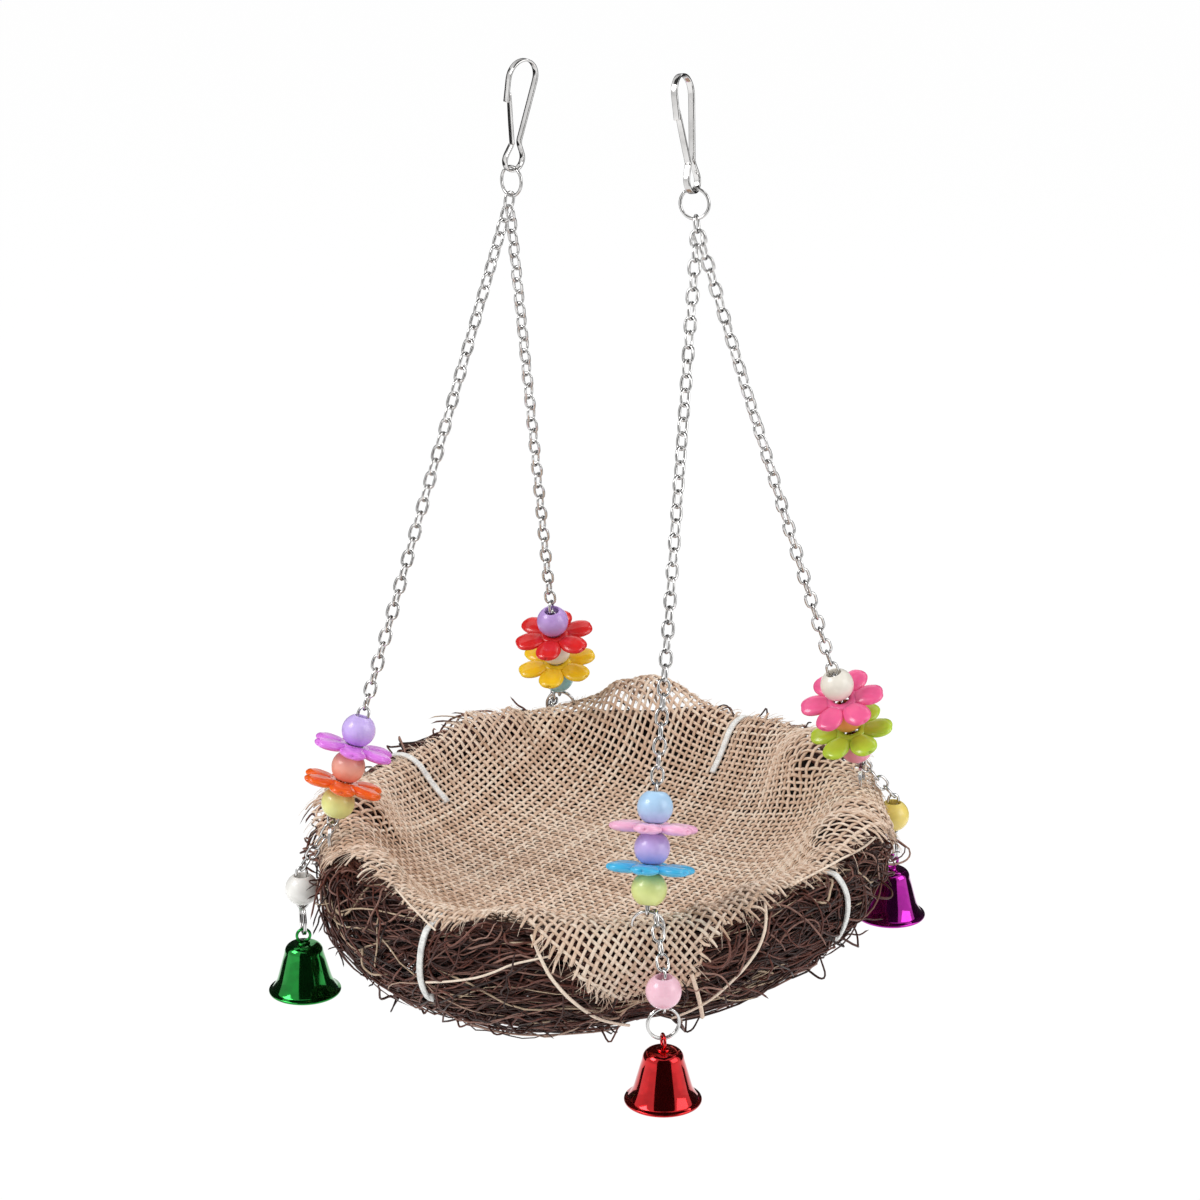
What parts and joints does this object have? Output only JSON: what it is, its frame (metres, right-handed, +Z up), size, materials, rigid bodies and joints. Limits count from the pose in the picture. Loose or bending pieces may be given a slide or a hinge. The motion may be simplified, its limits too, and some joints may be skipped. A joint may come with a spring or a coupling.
{
  "type": "bird swing",
  "caption": "Hanging bird swing: a shallow twig nest lined with burlap, carried by chains with beads and flowers from snap hooks, with small bells under its rim.",
  "frame": {"origin": "middle of the line on which the two snap hooks bear on the cage bar", "axes": "+Z up; +X from the left hook to the right hook; +Y to the back, away from the front and left chains"},
  "size_m": [0.2378, 0.2371, 0.3714],
  "materials": {
    "nickel": "bright nickel plate",
    "twig": "dark vine bark",
    "jute": "open plain weave",
    "nylon": "natural nylon",
    "front_bottom_bead": "gloss",
    "front_lower_flower": "gloss",
    "front_middle_bead": "gloss",
    "front_upper_flower": "gloss",
    "front_top_bead": "gloss",
    "right_bottom_bead": "gloss",
    "right_lower_flower": "gloss",
    "right_middle_bead": "gloss",
    "right_upper_flower": "gloss",
    "right_top_bead": "gloss",
    "back_bottom_bead": "gloss",
    "back_lower_flower": "gloss",
    "back_middle_bead": "gloss",
    "back_upper_flower": "gloss",
    "back_top_bead": "gloss",
    "left_bottom_bead": "gloss",
    "left_lower_flower": "gloss",
    "left_middle_bead": "gloss",
    "left_upper_flower": "gloss",
    "left_top_bead": "gloss",
    "front_drop_bead": "gloss",
    "front_bell": "bright coloured lacquer on metal",
    "right_drop_bead": "gloss",
    "right_bell": "bright coloured lacquer on metal",
    "back_drop_bead": "gloss",
    "back_bell": "bright coloured lacquer on metal",
    "left_drop_bead": "gloss",
    "left_bell": "bright coloured lacquer on metal"
  },
  "bodies": {
    "hooks": {"left_hook": "nickel", "right_hook": "nickel"},
    "left_gate": {"left_gate": "nickel"},
    "right_gate": {"right_gate": "nickel"},
    "left_ring": {"left_top_ring": "nickel"},
    "right_ring": {"right_top_ring": "nickel"},
    "left_hanger": {"left_yoke_link": "nickel", "back_chain": "nickel", "left_chain": "nickel"},
    "right_hanger": {"right_yoke_link": "nickel", "front_chain": "nickel", "right_chain": "nickel"},
    "nest": {"nest_bowl": "twig", "burlap_liner": "jute", "cable_ties": "nylon", "rim_rings": "nickel", "shoulder_links": "nickel"},
    "front_bottom_bead": {"front_bottom_bead": "front_bottom_bead"},
    "front_lower_flower": {"front_lower_flower": "front_lower_flower"},
    "front_middle_bead": {"front_middle_bead": "front_middle_bead"},
    "front_upper_flower": {"front_upper_flower": "front_upper_flower"},
    "front_top_bead": {"front_top_bead": "front_top_bead"},
    "right_bottom_bead": {"right_bottom_bead": "right_bottom_bead"},
    "right_lower_flower": {"right_lower_flower": "right_lower_flower"},
    "right_middle_bead": {"right_middle_bead": "right_middle_bead"},
    "right_upper_flower": {"right_upper_flower": "right_upper_flower"},
    "right_top_bead": {"right_top_bead": "right_top_bead"},
    "back_bottom_bead": {"back_bottom_bead": "back_bottom_bead"},
    "back_lower_flower": {"back_lower_flower": "back_lower_flower"},
    "back_middle_bead": {"back_middle_bead": "back_middle_bead"},
    "back_upper_flower": {"back_upper_flower": "back_upper_flower"},
    "back_top_bead": {"back_top_bead": "back_top_bead"},
    "left_bottom_bead": {"left_bottom_bead": "left_bottom_bead"},
    "left_lower_flower": {"left_lower_flower": "left_lower_flower"},
    "left_middle_bead": {"left_middle_bead": "left_middle_bead"},
    "left_upper_flower": {"left_upper_flower": "left_upper_flower"},
    "left_top_bead": {"left_top_bead": "left_top_bead"},
    "front_drop": {"front_drop_chain": "nickel", "front_bell_ring": "nickel"},
    "front_drop_bead": {"front_drop_bead": "front_drop_bead"},
    "front_bell": {"front_bell": "front_bell"},
    "front_clapper": {"front_clapper": "nickel"},
    "right_drop": {"right_drop_chain": "nickel", "right_bell_ring": "nickel"},
    "right_drop_bead": {"right_drop_bead": "right_drop_bead"},
    "right_bell": {"right_bell": "right_bell"},
    "right_clapper": {"right_clapper": "nickel"},
    "back_drop": {"back_drop_chain": "nickel", "back_bell_ring": "nickel"},
    "back_drop_bead": {"back_drop_bead": "back_drop_bead"},
    "back_bell": {"back_bell": "back_bell"},
    "back_clapper": {"back_clapper": "nickel"},
    "left_drop": {"left_drop_chain": "nickel", "left_bell_ring": "nickel"},
    "left_drop_bead": {"left_drop_bead": "left_drop_bead"},
    "left_bell": {"left_bell": "left_bell"},
    "left_clapper": {"left_clapper": "nickel"}
  },
  "joints": [
    {"name": "left_gate_flex", "type": "hinge", "parent": "hooks", "child": "left_gate", "pos_m": [-0.04122, -0.00167, -0.03182], "axis": [-0.9724, 0.1908, 0.1342], "range_deg": [0, 14], "stiffness_Nm_per_rad": 0.02},
    {"name": "right_gate_flex", "type": "hinge", "parent": "hooks", "child": "right_gate", "pos_m": [0.04113, -0.00168, -0.03184], "axis": [-0.981, -0.1392, -0.1354], "range_deg": [0, 14], "stiffness_Nm_per_rad": 0.02},
    {"name": "left_swing", "type": "hinge", "parent": "hooks", "child": "left_ring", "pos_m": [-0.0422, 0, -0.04133], "axis": [1, 0, 0], "range_deg": [-25, 25]},
    {"name": "right_swing", "type": "hinge", "parent": "hooks", "child": "right_ring", "pos_m": [0.0422, 0, -0.04133], "axis": [1, 0, 0], "range_deg": [-25, 25]},
    {"name": "left_sway", "type": "hinge", "parent": "left_ring", "child": "left_hanger", "pos_m": [-0.04376, 0, -0.05262], "axis": [0, 0.9969, 0.0785], "range_deg": [-7, 7]},
    {"name": "right_sway", "type": "hinge", "parent": "right_ring", "child": "right_hanger", "pos_m": [0.04376, 0, -0.05262], "axis": [0, 0.9969, 0.0785], "range_deg": [-7, 7]},
    {"name": "nest_level", "type": "hinge", "parent": "left_hanger", "child": "nest", "pos_m": [-0.07672, -0.00068, -0.29143], "axis": [0, 0.9969, 0.0785], "range_deg": [-4.04, 4.04]},
    {"name": "front_stack_slide", "type": "slide", "parent": "right_hanger", "child": "front_bottom_bead", "axis": [-0.1265, 0.3017, 0.945], "range_m": [0, 0.08]},
    {"name": "front_lower_flower_spin", "type": "hinge", "parent": "front_bottom_bead", "child": "front_lower_flower", "pos_m": [0.07471, -0.07236, -0.28241], "axis": [-0.1265, 0.3017, 0.945], "continuous": true},
    {"name": "front_middle_bead_spin", "type": "hinge", "parent": "front_bottom_bead", "child": "front_middle_bead", "pos_m": [0.07375, -0.07006, -0.27521], "axis": [-0.1265, 0.3017, 0.945], "continuous": true},
    {"name": "front_upper_flower_spin", "type": "hinge", "parent": "front_bottom_bead", "child": "front_upper_flower", "pos_m": [0.07278, -0.06777, -0.26802], "axis": [-0.1265, 0.3017, 0.945], "continuous": true},
    {"name": "front_top_bead_spin", "type": "hinge", "parent": "front_bottom_bead", "child": "front_top_bead", "pos_m": [0.07182, -0.06547, -0.26082], "axis": [-0.1265, 0.3017, 0.945], "continuous": true},
    {"name": "right_stack_slide", "type": "slide", "parent": "right_hanger", "child": "right_bottom_bead", "axis": [-0.134, -0.3108, 0.941], "range_m": [0, 0.08]},
    {"name": "right_lower_flower_spin", "type": "hinge", "parent": "right_bottom_bead", "child": "right_lower_flower", "pos_m": [0.07459, 0.07087, -0.27043], "axis": [-0.134, -0.3108, 0.941], "continuous": true},
    {"name": "right_middle_bead_spin", "type": "hinge", "parent": "right_bottom_bead", "child": "right_middle_bead", "pos_m": [0.07357, 0.0685, -0.26327], "axis": [-0.134, -0.3108, 0.941], "continuous": true},
    {"name": "right_upper_flower_spin", "type": "hinge", "parent": "right_bottom_bead", "child": "right_upper_flower", "pos_m": [0.07255, 0.06613, -0.2561], "axis": [-0.134, -0.3108, 0.941], "continuous": true},
    {"name": "right_top_bead_spin", "type": "hinge", "parent": "right_bottom_bead", "child": "right_top_bead", "pos_m": [0.07153, 0.06377, -0.24893], "axis": [-0.134, -0.3108, 0.941], "continuous": true},
    {"name": "back_stack_slide", "type": "slide", "parent": "left_hanger", "child": "back_bottom_bead", "axis": [0.1338, -0.3108, 0.941], "range_m": [0, 0.08]},
    {"name": "back_lower_flower_spin", "type": "hinge", "parent": "back_bottom_bead", "child": "back_lower_flower", "pos_m": [-0.07459, 0.07087, -0.27043], "axis": [0.1338, -0.3108, 0.941], "continuous": true},
    {"name": "back_middle_bead_spin", "type": "hinge", "parent": "back_bottom_bead", "child": "back_middle_bead", "pos_m": [-0.07357, 0.0685, -0.26327], "axis": [0.1338, -0.3108, 0.941], "continuous": true},
    {"name": "back_upper_flower_spin", "type": "hinge", "parent": "back_bottom_bead", "child": "back_upper_flower", "pos_m": [-0.07255, 0.06613, -0.2561], "axis": [0.1338, -0.3108, 0.941], "continuous": true},
    {"name": "back_top_bead_spin", "type": "hinge", "parent": "back_bottom_bead", "child": "back_top_bead", "pos_m": [-0.07153, 0.06377, -0.24893], "axis": [0.1338, -0.3108, 0.941], "continuous": true},
    {"name": "left_stack_slide", "type": "slide", "parent": "left_hanger", "child": "left_bottom_bead", "axis": [0.1267, 0.3017, 0.945], "range_m": [0, 0.08]},
    {"name": "left_lower_flower_spin", "type": "hinge", "parent": "left_bottom_bead", "child": "left_lower_flower", "pos_m": [-0.07471, -0.07236, -0.28241], "axis": [0.1267, 0.3017, 0.945], "continuous": true},
    {"name": "left_middle_bead_spin", "type": "hinge", "parent": "left_bottom_bead", "child": "left_middle_bead", "pos_m": [-0.07374, -0.07006, -0.27521], "axis": [0.1267, 0.3017, 0.945], "continuous": true},
    {"name": "left_upper_flower_spin", "type": "hinge", "parent": "left_bottom_bead", "child": "left_upper_flower", "pos_m": [-0.07278, -0.06777, -0.26802], "axis": [0.1267, 0.3017, 0.945], "continuous": true},
    {"name": "left_top_bead_spin", "type": "hinge", "parent": "left_bottom_bead", "child": "left_top_bead", "pos_m": [-0.07181, -0.06547, -0.26082], "axis": [0.1267, 0.3017, 0.945], "continuous": true},
    {"name": "front_drop_swing", "type": "hinge", "parent": "nest", "child": "front_drop", "pos_m": [0.08894, -0.08389, -0.31596], "axis": [-0.706, -0.7082, 0], "range_deg": [-3, 40]},
    {"name": "front_drop_bead_spin", "type": "hinge", "parent": "front_drop", "child": "front_drop_bead", "pos_m": [0.08867, -0.08366, -0.3241], "axis": [0, 0, 1], "continuous": true},
    {"name": "front_bell_swing", "type": "hinge", "parent": "front_drop", "child": "front_bell", "pos_m": [0.08867, -0.08366, -0.3432], "axis": [-0.6534, -0.757, 0], "range_deg": [-30, 30]},
    {"name": "front_clapper_swing", "type": "hinge", "parent": "front_bell", "child": "front_clapper", "pos_m": [0.08867, -0.08366, -0.3528], "axis": [-0.757, 0.6534, 0], "range_deg": [-18, 18]},
    {"name": "right_drop_swing", "type": "hinge", "parent": "nest", "child": "right_drop", "pos_m": [0.08489, 0.0894, -0.30233], "axis": [0.706, -0.7082, 0], "range_deg": [-1, 40]},
    {"name": "right_drop_bead_spin", "type": "hinge", "parent": "right_drop", "child": "right_drop_bead", "pos_m": [0.08461, 0.08908, -0.31049], "axis": [0, 0, 1], "continuous": true},
    {"name": "right_bell_swing", "type": "hinge", "parent": "right_drop", "child": "right_bell", "pos_m": [0.08461, 0.08908, -0.32958], "axis": [0.7549, -0.6558, 0], "range_deg": [-30, 30]},
    {"name": "right_clapper_swing", "type": "hinge", "parent": "right_bell", "child": "right_clapper", "pos_m": [0.08461, 0.08908, -0.33918], "axis": [-0.6558, -0.7549, 0], "range_deg": [-18, 18]},
    {"name": "back_drop_swing", "type": "hinge", "parent": "nest", "child": "back_drop", "pos_m": [-0.08894, 0.08536, -0.30264], "axis": [0.706, 0.7082, 0], "range_deg": [-1, 40]},
    {"name": "back_drop_bead_spin", "type": "hinge", "parent": "back_drop", "child": "back_drop_bead", "pos_m": [-0.08866, 0.08504, -0.3108], "axis": [0, 0, 1], "continuous": true},
    {"name": "back_bell_swing", "type": "hinge", "parent": "back_drop", "child": "back_bell", "pos_m": [-0.08866, 0.08504, -0.3299], "axis": [0.6578, 0.7532, 0], "range_deg": [-30, 30]},
    {"name": "back_clapper_swing", "type": "hinge", "parent": "back_bell", "child": "back_clapper", "pos_m": [-0.08866, 0.08504, -0.3395], "axis": [0.7532, -0.6578, 0], "range_deg": [-18, 18]},
    {"name": "left_drop_swing", "type": "hinge", "parent": "nest", "child": "left_drop", "pos_m": [-0.08489, -0.08793, -0.31628], "axis": [-0.706, 0.7082, 0], "range_deg": [-3, 40]},
    {"name": "left_drop_bead_spin", "type": "hinge", "parent": "left_drop", "child": "left_drop_bead", "pos_m": [-0.08461, -0.0877, -0.32442], "axis": [0, 0, 1], "continuous": true},
    {"name": "left_bell_swing", "type": "hinge", "parent": "left_drop", "child": "left_bell", "pos_m": [-0.08461, -0.0877, -0.34352], "axis": [-0.7593, 0.6508, 0], "range_deg": [-30, 30]},
    {"name": "left_clapper_swing", "type": "hinge", "parent": "left_bell", "child": "left_clapper", "pos_m": [-0.08461, -0.0877, -0.35312], "axis": [0.6508, 0.7593, 0], "range_deg": [-18, 18]}
  ],
  "couplings": [
    {"joint": "right_swing", "follows": "left_swing", "ratio": 1},
    {"joint": "right_sway", "follows": "left_sway", "ratio": 1},
    {"joint": "nest_level", "follows": "left_sway", "ratio": -0.5704}
  ]
}
